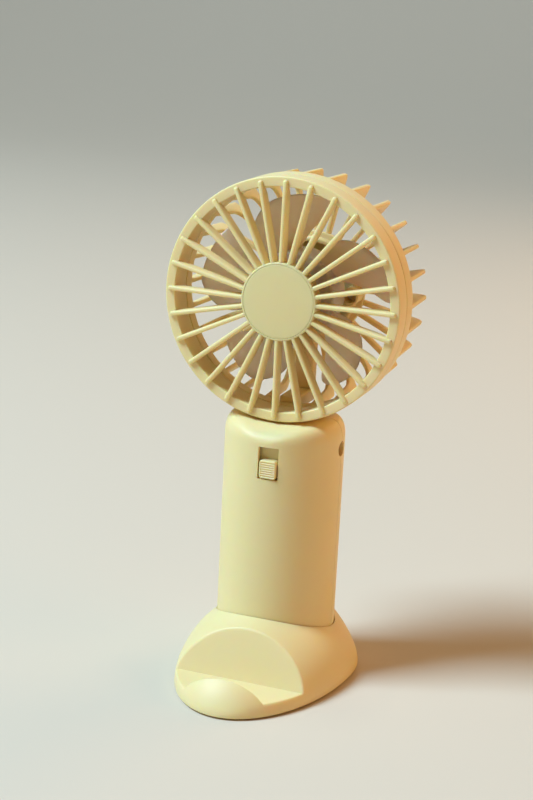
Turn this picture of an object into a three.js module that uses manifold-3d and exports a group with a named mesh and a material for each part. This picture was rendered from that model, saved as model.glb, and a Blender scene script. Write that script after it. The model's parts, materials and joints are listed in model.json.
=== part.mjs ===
// Handheld electric fan standing in its phone-stand base.
// Millimetres, +Z up, the fan blows towards -Y. The origin is on the bottom face, under the handle's axis.

import * as THREE from 'three';
import { mergeVertices } from 'three/addons/utils/BufferGeometryUtils.js';
import Module from 'manifold-3d';

const wasm = await Module();
wasm.setup();

// ---------------------------------------------------------------- driving dimensions

const GAP = 0.3; // air between two pieces that rest on each other
const FIT = 0.05; // radial clearance of the shaft in its sleeve

// The blower head. Radii are measured from its axis, which runs along Y at height z.
const HEAD = { z: 134.4, radius: 42, bore: 38.6, frontY: -12.3, seamY: -4.1, bandEndY: 3, rearY: 23.9 };
const GRILLE = { ribs: 28, ribWidth: 1.5, ribBackY: -9.5, discRadius: 13.4, capRadius: 12.4, faceY: -14.3 };
const CAGE = { fins: 28, finWidth: 1.7, floorRadius: 19.5, floorY: 19.6, floor: 1.8 };
const POD = { radius: 17.4, bore: 16, frontY: 17 };
const BOSSES = { count: 3, circle: 16.2, radius: 3.1, frontY: 13.6, sinkRadius: 2.2, sinkY: 18.6, hole: 1.2 };
const DUCT = { halfWidth: 3.5, bore: 2.2, top: 98, bottom: 93.2, frontY: 15.9, rearY: 20.7 };
const NECK = { halfX: 8, frontY: -3.5, rearY: 8.3, flange: 1.5, bottom: 88.4, flangeTop: 89.7 };

// The motor turns inside the impeller's hub: magnets outside, coils inside.
const HUB = { radius: 15.2, bore: 14, frontY: -1.5, wall: 2, rearY: 11.5 };
const BLADES = { count: 5, root: 14.6, tip: 34.5, thickness: 1.2, middleY: 3.9 };
const YOKE = { outer: 13.7, inner: 12.8, frontY: 1, rearY: 11 };
const MAGNET = { outer: 12.6, inner: 11.1, frontY: 3, rearY: 11 };
const STATOR = { tip: 10.6, arms: 4, armWidth: 4, frontY: 4, rearY: 10, hub: 6.6, bore: 4.5 };
const COIL = { inner: 6.9, outer: 8.6, wrap: 1.3 };
const TUBE = { outer: 4.2, bore: 2.9, frontY: 2.6 };
const SHAFT = { radius: 1, frontY: -0.6, rearY: 16 };

// The handle, a round tube on the Z axis with a domed shoulder under the head.
const HANDLE = { radius: 21, wall: 2, bottom: 8, shoulder: 86, dome: 17, splitGap: 0.12 };
const CRADLE = { radius: 42.3, flatHalfY: 12.3, fillet: 6.1 };
const WINDOW = { x: 1.7, halfX: 3.6, bottom: 74, top: 85.4 };
const KNOB = { halfX: 3, bottom: 74.4, top: 80.8, faceY: -21.3, flangeY: -18.1, backY: -17.1, travel: 3.6 };
const SHELL_SCREW = { x: 13.8, z: 16 };
const LANYARD = { z: 82.7, radius: 2.75, wall: 0.9 };
const PORT = { z: 36, halfX: 4.2, halfZ: 1.6, frontY: 12.9, rearY: 20.5 };
const BOARD = { halfX: 11, frontY: -13, rearY: -11.4, bottom: 40, top: 88 };
const CELL = { radius: 9.2, y: -0.5, bottom: 11.2, top: 76.2 };

// The base, a smooth dome longer in front than behind, with a slot for a phone across it.
const BASE = {
  halfWidth: 30.2, front: 56, rear: 33.6, height: 26.8, arch: 1.2, archGain: 0.4, wall: 2.4, edge: 2.4, rim: 0.6,
};
const SOCKET = { radius: 21.3, wall: 2.2, floor: 7.7 };
const SLOT = { floor: 5, frontY: -48, rearY: -33.8, top: 32, backLean: 20, lipLean: 2, wall: 2.2 };
const PLATE = { inset: 2.8, bottom: 0.9, top: 2.4 };
const PAD = { inset: 3.6, top: 0.6 };
const PLAN_SIDES = 44;
const BASE_SCREWS = [[-14, -25.5], [14, -25.5], [0, 27.4]];

// ---------------------------------------------------------------- materials

const finish = (color, roughness, metalness = 0) =>
  new THREE.MeshStandardMaterial({ color, roughness, metalness });

const FINISH = {
  body: finish(0xe9d596, 0.5),
  blade: finish(0xd9c3a4, 0.45),
  rubber: finish(0x3a3a38, 0.9),
  steel: finish(0xb9bcc0, 0.35, 1),
  brass: finish(0xc49a4a, 0.35, 1),
  copper: finish(0xb8693c, 0.4, 1),
  ferrite: finish(0x2c2c2e, 0.7),
  board: finish(0x2f6b46, 0.5),
  chip: finish(0x1c1c1e, 0.5),
  cell: finish(0x4f7fb0, 0.4),
  nickel: finish(0xd0cfc8, 0.3, 1),
  leadRed: finish(0xb03028, 0.5),
  leadBlack: finish(0x1e1e20, 0.5),
};

// ---------------------------------------------------------------- solids

// A closed geometry as a solid: shared corners merged, flat triangles at poles dropped.
function solid(geometry) {
  const bare = new THREE.BufferGeometry();
  bare.setAttribute('position', geometry.getAttribute('position').clone());
  if (geometry.index) bare.setIndex(geometry.index.clone());
  const merged = mergeVertices(bare, 1e-4);
  const corners = merged.index.array;
  const triangles = [];
  for (let i = 0; i < corners.length; i += 3) {
    const [a, b, c] = [corners[i], corners[i + 1], corners[i + 2]];
    if (a !== b && b !== c && c !== a) triangles.push(a, b, c);
  }
  return new wasm.Manifold(new wasm.Mesh({
    numProp: 3,
    vertProperties: new Float32Array(merged.attributes.position.array),
    triVerts: new Uint32Array(triangles),
  }));
}

function geometryOf(body) {
  const mesh = body.getMesh();
  const geometry = new THREE.BufferGeometry();
  geometry.setAttribute('position', new THREE.BufferAttribute(mesh.vertProperties, 3));
  geometry.setIndex(new THREE.BufferAttribute(mesh.triVerts, 1));
  geometry.computeVertexNormals();
  return geometry;
}

const joined = (bodies) => bodies.reduce((whole, body) => whole.add(body));
const without = (body, cutters) => body.subtract(joined(cutters));

// A box from its lowest to its highest corner.
function block([x0, y0, z0], [x1, y1, z1]) {
  const geometry = new THREE.BoxGeometry(x1 - x0, y1 - y0, z1 - z0);
  geometry.translate((x0 + x1) / 2, (y0 + y1) / 2, (z0 + z1) / 2);
  return solid(geometry);
}

// A round bar along Y at (x, z), and one along Z at (x, y).
function barY(radius, y0, y1, x = 0, z = HEAD.z, sides = 24) {
  const geometry = new THREE.CylinderGeometry(radius, radius, y1 - y0, sides);
  geometry.translate(x, (y0 + y1) / 2, z);
  return solid(geometry);
}

function barZ(radius, z0, z1, x = 0, y = 0, sides = 24) {
  const geometry = new THREE.CylinderGeometry(radius, radius, z1 - z0, sides);
  geometry.rotateX(Math.PI / 2);
  geometry.translate(x, y, (z0 + z1) / 2);
  return solid(geometry);
}

// A closed (radius, y) outline turned about the head's axis. The outline runs anticlockwise.
function turnedY(outline, sides = 56) {
  const points = outline.map(([radius, y]) => new THREE.Vector2(radius, y));
  const geometry = new THREE.LatheGeometry(points, sides);
  geometry.translate(0, 0, HEAD.z);
  return solid(geometry);
}

const ringY = (inner, outer, y0, y1, sides = 36) =>
  turnedY([[inner, y0], [outer, y0], [outer, y1], [inner, y1], [inner, y0]], sides);

// A (radius, z) outline that starts and ends on the Z axis, turned about it.
function turnedZ(outline, sides = 40) {
  const geometry = new THREE.LatheGeometry(outline.map(([r, z]) => new THREE.Vector2(r, z)), sides);
  geometry.rotateX(Math.PI / 2);
  return solid(geometry);
}

// A (y, z) outline drawn out along X, from -halfX to halfX.
function profileX(outline, halfX) {
  const shape = new THREE.Shape(outline.map(([y, z]) => new THREE.Vector2(y, z)));
  const geometry = new THREE.ExtrudeGeometry(shape, { depth: 2 * halfX, bevelEnabled: false });
  const axes = [new THREE.Vector3(0, 1, 0), new THREE.Vector3(0, 0, 1), new THREE.Vector3(1, 0, 0)];
  geometry.applyMatrix4(new THREE.Matrix4().makeBasis(...axes));
  geometry.translate(-halfX, 0, 0);
  return solid(geometry);
}

// A (radius, y) outline made `width` thick, standing in the head's radial plane at `angle`.
function radialPlate(outline, width, angle) {
  const shape = new THREE.Shape(outline.map(([radius, y]) => new THREE.Vector2(radius, y)));
  const geometry = new THREE.ExtrudeGeometry(shape, { depth: width, bevelEnabled: false });
  geometry.translate(0, 0, -width / 2);
  geometry.rotateY(-angle);
  geometry.translate(0, 0, HEAD.z);
  return solid(geometry);
}

// A grid of points as one closed skin: rows of equal, even length, each a closed loop. The first and
// last loops are capped by a ladder of rungs between their two halves.
function skin(rows) {
  const width = rows[0].length;
  const last = (rows.length - 1) * width;
  const triangles = [];
  const quad = (a, b, c, d) => triangles.push(a, b, c, a, c, d);
  for (let i = 0; i < width; i += 1) {
    const j = (i + 1) % width;
    for (let row = 0; row < last; row += width) quad(row + i, row + j, row + width + j, row + width + i);
  }
  for (let i = 0; i < width / 2 - 1; i += 1) {
    const [near, far] = [width - 1 - i, width - 2 - i];
    quad(i, near, far, i + 1);
    quad(last + i, last + i + 1, last + far, last + near);
  }
  const geometry = new THREE.BufferGeometry().setFromPoints(rows.flat());
  geometry.setIndex(triangles);
  return solid(geometry);
}

// A lead: a round section drawn along a smooth curve through its points.
function lead(route, radius = 0.6) {
  const section = new THREE.Shape().absarc(0, 0, radius, 0, 2 * Math.PI);
  const curve = new THREE.CatmullRomCurve3(route.map((point) => new THREE.Vector3(...point)));
  return solid(new THREE.ExtrudeGeometry(section, {
    steps: Math.round(1.6 * route.length), curveSegments: 3, extrudePath: curve, bevelEnabled: false,
  }));
}

const arc = (count, from, to, point) =>
  Array.from({ length: count + 1 }, (_, i) => point(from + ((to - from) * i) / count));

const radians = THREE.MathUtils.degToRad;

// ---------------------------------------------------------------- base

// Half plan outline: an ellipse long in front and short behind, all sides moved in by `inset`.
function planPoint(angle, scale, inset) {
  const length = (Math.sin(angle) < 0 ? BASE.front : BASE.rear) - inset;
  const x = (BASE.halfWidth - inset) * Math.cos(angle) * scale;
  return [x, length * Math.sin(angle) * scale];
}

// Height of the dome over its plan: an arch across X whose crown falls away to the nose and the heel.
function domeHeight(x, y, inset) {
  const length = (y < 0 ? BASE.front : BASE.rear) - inset;
  const along = Math.min(Math.abs(y) / length, 1);
  const fall = y < 0 ? 1 - 0.8 * along ** 2 - 0.2 * along ** 14 : Math.sqrt(1 - along ** 2.4);
  const crown = (BASE.height - inset) * fall;
  const half = (BASE.halfWidth - inset) * Math.sqrt(1 - along ** 2);
  const across = half > 0 ? Math.min(Math.abs(x) / half, 1) : 1;
  const back = Math.min(Math.max((y + 10) / 20, 0), 1);
  const arch = BASE.arch + BASE.archGain * back ** 2 * (3 - 2 * back);
  return crown * (1 - across ** 2) ** (arch / 2);
}

// The dome as a solid. `feet` are its lowest rows, as (inset, z) pairs below the crown's rows.
function dome(inset, feet, scales) {
  const sides = PLAN_SIDES;
  const angles = Array.from({ length: sides }, (_, i) => (2 * Math.PI * i) / sides);
  const rows = feet.map(([step, z]) => angles.map((angle) => {
    const [x, y] = planPoint(angle, 1, inset + step);
    return new THREE.Vector3(x, y, z);
  }));
  const share = 1 - BASE.edge / BASE.height;
  for (const scale of scales) {
    rows.push(angles.map((angle) => {
      const [x, y] = planPoint(angle, scale, inset);
      return new THREE.Vector3(x, y, BASE.edge + share * domeHeight(x, y, inset));
    }));
  }
  return skin(rows);
}

function slotPrism(grow) {
  const rise = SLOT.top - SLOT.floor + grow;
  const back = rise * Math.tan(radians(SLOT.backLean));
  const lip = rise * Math.tan(radians(SLOT.lipLean));
  const [front, rear, floor] = [SLOT.frontY - grow, SLOT.rearY + grow, SLOT.floor - grow];
  return profileX([[front, floor], [rear, floor], [rear + back, SLOT.top], [front - lip, SLOT.top]], 50);
}

function baseShell() {
  const outline = dome(0, [[1.2, BASE.rim], [0, BASE.edge]], [0.98, 0.92, 0.8, 0.64, 0.44, 0.18]);
  const outside = outline.subtract(slotPrism(0));
  const cup = barZ(SOCKET.radius + SOCKET.wall, SOCKET.floor - SOCKET.wall, 40, 0, 0, 40);
  const bosses = BASE_SCREWS.map(([x, y]) => barZ(2.6, PLATE.top + GAP, 40, x, y, 16));
  const solidInside = joined([slotPrism(SLOT.wall), cup, ...bosses]);
  const inside = dome(BASE.wall, [[0, -1], [0, BASE.edge]], [0.94, 0.78, 0.52]).subtract(solidInside);
  const pilots = BASE_SCREWS.map(([x, y]) => barZ(1.05, 0, 9, x, y, 12));
  return without(outside, [inside, barZ(SOCKET.radius, SOCKET.floor, 45, 0, 0, 40), ...pilots]);
}

// A flat slab with the base's plan outline.
function slab(inset, z0, z1) {
  const step = (2 * Math.PI) / PLAN_SIDES;
  const ring = (z) => arc(PLAN_SIDES - 1, 0, 2 * Math.PI - step, (angle) => {
    const [x, y] = planPoint(angle, 1, inset);
    return new THREE.Vector3(x, y, z);
  });
  return skin([ring(z0), ring(z1)]);
}

function basePlate() {
  const holes = BASE_SCREWS.map(([x, y]) => barZ(1.3, 0, 3, x, y, 12));
  const recesses = BASE_SCREWS.map(([x, y]) => barZ(2.3, 0, 1.6, x, y, 16));
  return without(slab(PLATE.inset, PLATE.bottom, PLATE.top), [...holes, ...recesses]);
}

const footPad = () => slab(PAD.inset, 0, PAD.top);

const baseScrew = ([x, y]) => barZ(2, 0.9, 1.4, x, y, 16).add(barZ(0.9, 1.2, 8.6, x, y, 12));

// ---------------------------------------------------------------- handle

// The space the head takes out of the handle's top: a cylinder about the head's axis, flared before
// and behind so that the shoulder rounds up to meet the ring.
function cradle(grow) {
  const flare = (side) => (angle) => [
    CRADLE.radius + CRADLE.fillet * (1 - Math.sin(angle)) + grow,
    side * (CRADLE.flatHalfY + (HANDLE.radius - CRADLE.flatHalfY) * Math.cos(angle)),
  ];
  const [low, high] = [0, Math.PI / 2];
  const flared = CRADLE.radius + CRADLE.fillet + grow;
  return turnedY([
    [0, -26], [flared, -26], ...arc(4, low, high, flare(-1)),
    ...arc(4, high, low, flare(1)), [flared, 26], [0, 26],
  ]);
}

// The handle's outer shape moved in by `inset`: a round tube with a domed top.
function handleForm(inset) {
  const [radius, rise, bottom] = [HANDLE.radius - inset, HANDLE.dome - inset, HANDLE.bottom + inset];
  const corner = inset > 0 ? 0.4 : 1.8;
  return turnedZ([
    [0, bottom], [radius - corner, bottom], [radius, bottom + corner],
    ...arc(5, 0, Math.PI / 2, (angle) => [
      angle < 1.57 ? radius * Math.cos(angle) : 0, HANDLE.shoulder + rise * Math.sin(angle)]),
  ]);
}

const NECK_WINDOW = block(
  [-NECK.halfX - GAP, NECK.frontY - GAP, 80], [NECK.halfX + GAP, NECK.rearY + GAP, 100]);

function handleShells() {
  const inside = handleForm(HANDLE.wall).subtract(cradle(HANDLE.wall));
  const switchPocket = block([WINDOW.x - 4.3, -18.4, 69.8], [WINDOW.x + 4.3, -16, 89.4]);
  const window = block([WINDOW.x - WINDOW.halfX, -30, WINDOW.bottom],
    [WINDOW.x + WINDOW.halfX, -15, WINDOW.top]);
  const lanyardHole = barY(LANYARD.radius, -30, 30, 0, 0).rotate([0, 0, 90]).translate([0, 0, LANYARD.z]);
  const portHole = block([-PORT.halfX - GAP, 15, PORT.z - PORT.halfZ - GAP],
    [PORT.halfX + GAP, 30, PORT.z + PORT.halfZ + GAP]);
  const skinOnly = without(handleForm(0),
    [cradle(0), inside, switchPocket, window, lanyardHole, portHole, NECK_WINDOW]);
  const room = 60;
  const front = block([-room, -room, -10], [room, -HANDLE.splitGap, 200]);
  const rear = block([-room, HANDLE.splitGap, -10], [room, room, 200]);
  const wallFollow = handleForm(0.5);
  const post = (x, y0, y1) => barY(2.3, y0, y1, x, SHELL_SCREW.z, 16).intersect(wallFollow);
  const frontPosts = [-1, 1].map((side) => post(side * SHELL_SCREW.x, -20, -HANDLE.splitGap));
  const rearPosts = [-1, 1].map((side) => post(side * SHELL_SCREW.x, HANDLE.splitGap, 20));
  const pilots = [-1, 1].map((side) => barY(1.05, -9, 30, side * SHELL_SCREW.x, SHELL_SCREW.z, 12));
  const recesses = [-1, 1].map((side) => barY(1.9, 6, 30, side * SHELL_SCREW.x, SHELL_SCREW.z, 16));
  return {
    front: without(joined([skinOnly.intersect(front), ...frontPosts]), pilots),
    rear: without(joined([skinOnly.intersect(rear), ...rearPosts]), [...pilots, ...recesses]),
  };
}


const shellScrew = (side) =>
  barY(1.7, 6.3, 7.6, side * SHELL_SCREW.x, SHELL_SCREW.z, 16)
    .add(barY(0.9, -8, 7, side * SHELL_SCREW.x, SHELL_SCREW.z, 12));

function lanyardTube() {
  const along = (radius, half) => barY(radius, -half, half, 0, 0).rotate([0, 0, 90]);
  return along(LANYARD.radius + LANYARD.wall, 18.2).subtract(along(LANYARD.radius, 30))
    .translate([0, 0, LANYARD.z]);
}

const batteryCell = () => joined([
  barZ(CELL.radius, CELL.bottom, CELL.top - 0.8, 0, CELL.y, 32),
  barZ(2.8, CELL.top - 1, CELL.top, 0, CELL.y, 20),
]);

function batteryTabs() {
  const half = 2.5;
  const boardFace = BOARD.rearY + GAP;
  const top = block([-half, boardFace, CELL.top + 0.2], [half, 3, CELL.top + 0.6]);
  const bottomZ = HANDLE.bottom + HANDLE.wall + 0.2;
  const bottom = block([-half, boardFace, bottomZ], [half, 3, bottomZ + 0.5])
    .add(block([-half, boardFace, bottomZ], [half, boardFace + 0.5, 46]));
  return { top, bottom };
}

function controlBoard() {
  const notch = block([-20, -20, 60], [-8, 0, 66]);
  return block([-BOARD.halfX, BOARD.frontY, BOARD.bottom], [BOARD.halfX, BOARD.rearY, BOARD.top])
    .subtract(notch);
}

const controlChip = () => block([-2.6, BOARD.frontY - 1.8, 54], [2.6, BOARD.frontY - GAP, 60]);


function slideSwitch() {
  const body = block([WINDOW.x - 3.6, -16.7, 73.5], [WINDOW.x + 3.6, BOARD.frontY - GAP, 85.5]);
  const track = block([WINDOW.x - 1.2, -18, KNOB.bottom + 1.4],
    [WINDOW.x + 1.2, -14, KNOB.bottom + 4.4 + KNOB.travel]);
  return body.subtract(track);
}

// The thumb slider: ridged block in the window, a flange behind the wall, and a stem into the switch.
function switchKnob() {
  const button = block([-KNOB.halfX, KNOB.faceY, KNOB.bottom], [KNOB.halfX, KNOB.flangeY + 0.1, KNOB.top]);
  const grooves = Array.from({ length: 6 }, (_, i) => {
    const z = KNOB.bottom + 0.95 + i * 0.9;
    return block([-5, -25, z - 0.15], [5, KNOB.faceY + 0.3, z + 0.15]);
  });
  const flange = block([-4, KNOB.flangeY, 70.1], [4, KNOB.backY, 85.6]);
  const stem = block([-0.9, KNOB.backY - 0.1, KNOB.bottom + 1.8], [0.9, -14.6, KNOB.bottom + 4]);
  return joined([without(button, grooves), flange, stem]).translate([WINDOW.x, 0, 0]);
}

function chargePort() {
  const [low, high] = [PORT.z - PORT.halfZ, PORT.z + PORT.halfZ];
  const body = block([-PORT.halfX, PORT.frontY, low], [PORT.halfX, PORT.rearY, high]);
  const mouth = block([-PORT.halfX + 0.6, PORT.frontY + 2, PORT.z - PORT.halfZ + 0.5],
    [PORT.halfX - 0.6, PORT.rearY + 1, PORT.z + PORT.halfZ - 0.5]);
  const tongue = block([-2.6, PORT.frontY + 1, PORT.z - 0.35], [2.6, PORT.rearY - 1, PORT.z + 0.35]);
  return body.subtract(mouth).add(tongue);
}

const chargeBoard = () => block([-8, 11.2, 28], [8, 12.6, 44]);

const chargeLead = (side) => lead([
  [side * 6.5, 10.4, 31], [side * 9.5, 9.2, 31.5], [side * 12.6, 5.5, 34], [side * 13.4, -1, 38],
  [side * 12, -7, 42], [side * 8.6, -10.2, 44.5], [side * 6, -10.7, 47],
]);

// ---------------------------------------------------------------- head

// Ribs run from the centre disc out over the ring's face, falling back a little towards the ring.
function grilleRib(angle) {
  return radialPlate([
    [12, GRILLE.ribBackY], [39.6, GRILLE.ribBackY], [41.1, -12], [41.1, -12.9], [40.6, -13.4],
    [12.9, -14.1], [12.9, -12.2], [12, -12.2],
  ], GRILLE.ribWidth, angle);
}

function frontGrille() {
  const { radius, bore, frontY, seamY } = HEAD;
  const ring = turnedY([
    [bore, frontY], [radius - 0.8, frontY], [radius, frontY + 0.8], [radius, seamY - 0.5],
    [radius - 0.5, seamY], [40, seamY], [40, seamY + 1.8], [bore, seamY + 1.8], [bore, frontY],
  ]);
  const cup = turnedY([
    [0, -12.2], [GRILLE.capRadius + 0.25, -12.2], [GRILLE.capRadius + 0.25, GRILLE.faceY + 0.2],
    [GRILLE.discRadius, GRILLE.faceY + 0.2], [GRILLE.discRadius, GRILLE.ribBackY], [11.2, GRILLE.ribBackY],
    [11.2, -10.6], [0, -10.6],
  ], 40);
  const ribs = arc(GRILLE.ribs - 1, 0, GRILLE.ribs - 1, (i) => grilleRib((i * 2 * Math.PI) / GRILLE.ribs));
  return joined([ring, cup, ...ribs]);
}

const grilleCap = () => turnedY([
  [0, GRILLE.faceY - 0.2], [GRILLE.capRadius - 0.3, GRILLE.faceY], [GRILLE.capRadius, GRILLE.faceY + 0.3],
  [GRILLE.capRadius, -12.2 - GAP], [0, -12.2 - GAP],
], 40);

// Each fin runs back from the band along the cage's side, turns the corner and runs in to the floor.
function cageFin(angle) {
  const inner = CAGE.floorRadius - 0.2;
  const outerCorner = arc(2, 0, Math.PI / 2, (a) => [39.8 + 1.3 * Math.cos(a), 22.6 + 1.3 * Math.sin(a)]);
  const innerCorner = arc(2, Math.PI / 2, 0, (a) => [32.6 + 4.6 * Math.cos(a), 16 + 4.6 * Math.sin(a)]);
  return radialPlate([[38.7, 2], [41.7, 2], ...outerCorner, [inner, HEAD.rearY], [inner, 20.6], ...innerCorner],
    CAGE.finWidth, angle);
}

const bossPlaces = arc(BOSSES.count - 1, 0, BOSSES.count - 1, (i) => {
  const angle = -radians(4) + (2 * Math.PI * i) / BOSSES.count;
  return [BOSSES.circle * Math.cos(angle), HEAD.z + BOSSES.circle * Math.sin(angle)];
});

// A floor disc behind the motor with a low round wall, the bearing tube and three screw bosses.
function cagePod() {
  const { floorRadius, floorY, floor } = CAGE;
  const cup = turnedY([
    [0, floorY], [POD.bore, floorY], [POD.bore, POD.frontY], [POD.radius, POD.frontY], [POD.radius, floorY],
    [floorRadius, floorY], [floorRadius, floorY + floor], [0, floorY + floor],
  ], 40);
  const tube = ringY(TUBE.bore, TUBE.outer, TUBE.frontY, floorY + 0.5, 24);
  const bosses = bossPlaces.map(([x, z]) => barY(BOSSES.radius, BOSSES.frontY, floorY + 0.5, x, z, 20));
  return joined([cup, tube, ...bosses]);
}

// The lead duct: down behind the motor from the pod, forward under the blades, and down the neck.
function leadDuct() {
  const { halfWidth: half, bore, top, bottom, frontY, rearY } = DUCT;
  const podZ = HEAD.z - POD.radius + 1;
  const walls = [
    block([-half, 2, bottom], [half, rearY, top]),
    block([-half, frontY, bottom], [half, rearY, podZ]),
  ];
  const bores = [
    block([-bore, -1.5, bottom + 1.2], [bore, 19.4, top - 1.2]),
    block([-bore, frontY + 1.3, bottom + 1.2], [bore, 19.4, podZ + 2]),
    block([-bore, -1.5, 80], [bore, 2.6, bottom + 3]),
  ];
  return { walls, bores };
}

function neckBlocks() {
  const { halfX, frontY, rearY, flange, bottom, flangeTop } = NECK;
  return [
    block([-halfX, frontY, bottom], [halfX, rearY, 93]),
    block([-halfX, frontY, 92.5], [halfX, 3, 93.9]),
    block([-halfX - flange, frontY - flange, bottom], [halfX + flange, rearY + flange, flangeTop]),
  ];
}

function rearCage() {
  const { radius, bore, seamY, bandEndY } = HEAD;
  const band = turnedY([
    [40.3, seamY + GAP], [radius - 0.5, seamY + GAP], [radius, seamY + GAP + 0.5], [radius, bandEndY],
    [bore, bandEndY], [bore, seamY + 1.8 + GAP], [40.3, seamY + 1.8 + GAP], [40.3, seamY + GAP],
  ]);
  const fins = arc(CAGE.fins - 1, 0, CAGE.fins - 1, (i) => cageFin((i * 2 * Math.PI) / CAGE.fins));
  const duct = leadDuct();
  const sinks = bossPlaces.map(([x, z]) => barY(BOSSES.sinkRadius, 5, BOSSES.sinkY, x, z, 16));
  const holes = bossPlaces.map(([x, z]) => barY(BOSSES.hole, 5, 30, x, z, 12));
  return without(joined([band, ...fins, ...duct.walls, ...neckBlocks(), cagePod()]),
    [...duct.bores, ...sinks, ...holes]);
}

// A plain round cover over the back of the floor, held by screws from inside.
function rearCap() {
  const outer = CAGE.floorRadius - 0.5;
  const front = CAGE.floorY + CAGE.floor + GAP;
  const disc = turnedY([[0, front], [outer, front], [outer, HEAD.rearY - 0.5], [outer - 0.5, HEAD.rearY],
    [0, HEAD.rearY]], 40);
  return without(disc, bossPlaces.map(([x, z]) => barY(1, 15, HEAD.rearY - 0.7, x, z, 12)));
}

const capScrew = ([x, z]) =>
  barY(1.9, BOSSES.sinkY - 1.5, BOSSES.sinkY - 0.1, x, z, 16)
    .add(barY(0.9, BOSSES.sinkY - 0.5, HEAD.rearY - 1, x, z, 12));

// ---------------------------------------------------------------- motor and impeller

// One blade as a thin twisted sheet: the leading edge sweeps forward with the radius, and the trailing
// edge curves in to a round tip. The leading edge lies behind the trailing edge.
function blade(turn) {
  const [steps, across] = [5, 4];
  const point = (u, v, side) => {
    const leading = 20 - 26 * u;
    const trailing = 58 - 25 * u ** 3;
    const angle = turn + radians(leading + (trailing - leading) * v);
    const radius = BLADES.root + (BLADES.tip - BLADES.root) * u * (1 - 0.06 * v ** 4 * u);
    const lift = (3.9 + 1.8 * u) * (1 - 2 * v);
    return new THREE.Vector3(radius * Math.cos(angle), BLADES.middleY + lift + (side * BLADES.thickness) / 2,
      HEAD.z + radius * Math.sin(angle));
  };
  const rows = arc(steps, 0, 1, (u) => [
    ...arc(across, 0, 1, (v) => point(u, v, 1)), ...arc(across, 1, 0, (v) => point(u, v, -1)),
  ]);
  return skin(rows);
}

function impeller() {
  const { radius, bore, frontY, wall, rearY } = HUB;
  const hub = turnedY([
    [0, frontY], [radius - 1.2, frontY], [radius, frontY + 1.2], [radius, rearY],
    [bore, rearY], [bore, frontY + wall], [2.6, frontY + wall], [2.6, frontY + wall + 1.6],
    [0, frontY + wall + 1.6],
  ], 40);
  const blades = arc(BLADES.count - 1, 0, BLADES.count - 1, (i) => blade((2 * Math.PI * i) / BLADES.count));
  const seat = barY(SHAFT.radius + FIT, SHAFT.frontY - FIT, 5);
  return joined([hub, ...blades]).subtract(seat);
}

const rotorYoke = () => ringY(YOKE.inner, YOKE.outer, YOKE.frontY, YOKE.rearY)
  .add(ringY(3, YOKE.outer - 0.2, YOKE.frontY, YOKE.frontY + 0.8));

const magnetRing = () => ringY(MAGNET.inner, MAGNET.outer, MAGNET.frontY, MAGNET.rearY);

const motorShaft = () => barY(SHAFT.radius, SHAFT.frontY, SHAFT.rearY);

const shaftClip = () => ringY(SHAFT.radius + FIT, 2.3, 14.4, 14.9, 24);

const bearingSleeve = () => ringY(SHAFT.radius + FIT, TUBE.bore - 0.1, 3.6, 13.8, 24);

const armAngles = arc(STATOR.arms - 1, 0, STATOR.arms - 1, (i) => ((i + 0.5) * 2 * Math.PI) / STATOR.arms);

function statorCore() {
  const { tip, armWidth, frontY, rearY, hub, bore } = STATOR;
  const turned = (body, angle) =>
    body.translate([0, 0, -HEAD.z]).rotate([0, -THREE.MathUtils.radToDeg(angle), 0]).translate([0, 0, HEAD.z]);
  const arms = armAngles.map((angle) => turned(
    block([hub - 1, frontY, HEAD.z - armWidth / 2], [tip - 0.6, rearY, HEAD.z + armWidth / 2]), angle));
  const faces = ringY(tip - 1.2, tip, frontY, rearY).subtract(joined(armAngles.map((angle) =>
    turned(block([0, 0, HEAD.z - 0.7], [20, 20, HEAD.z + 0.7]), angle + Math.PI / STATOR.arms))));
  return joined([ringY(bore, hub, frontY, rearY), ...arms, faces]);
}

function statorCoil(angle) {
  const { inner, outer, wrap } = COIL;
  const { armWidth, frontY, rearY } = STATOR;
  const half = armWidth / 2;
  const reach = half + wrap;
  const wound = block([inner, frontY - wrap, HEAD.z - reach], [outer, rearY + wrap, HEAD.z + reach])
    .subtract(block([0, frontY - 0.15, HEAD.z - half - 0.15], [20, rearY + 0.15, HEAD.z + half + 0.15]));
  return wound.translate([0, 0, -HEAD.z]).rotate([0, -THREE.MathUtils.radToDeg(angle), 0])
    .translate([0, 0, HEAD.z]);
}

const motorBoard = () => ringY(TUBE.outer + GAP, 12.6, 12.4, 13.6, 40);

const motorLead = (side) => lead([
  [side, 13.9, 125.6], [side, 15.6, 125.2], [side, 17.7, 122.8], [side, 18.3, 119], [side, 18.4, 109],
  [side, 18.6, 99.5], [side, 18.5, 97], [side, 17.6, 95.7], [side, 15.5, 95.2], [side, 10, 95.5],
  [side, 5, 95.6], [side, 2.6, 95.3], [side, 1.2, 94], [side, 0.7, 91.8], [side, 0.2, 89.4],
  [side, -1.7, 87.5], [side, -4.6, 86.8],
  [side, -8, 85], [side, -10.2, 82], [side, -10.5, 79.6],
]);

// ---------------------------------------------------------------- assembly

const fan = new THREE.Group();

function piece(name, body, material) {
  const mesh = new THREE.Mesh(geometryOf(body), material);
  mesh.name = name;
  fan.add(mesh);
}

piece('base_shell', baseShell(), FINISH.body);
piece('base_plate', basePlate(), FINISH.body);
piece('foot_pad', footPad(), FINISH.rubber);
BASE_SCREWS.forEach((place, i) => piece(`base_screw_${i + 1}`, baseScrew(place), FINISH.steel));

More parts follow.
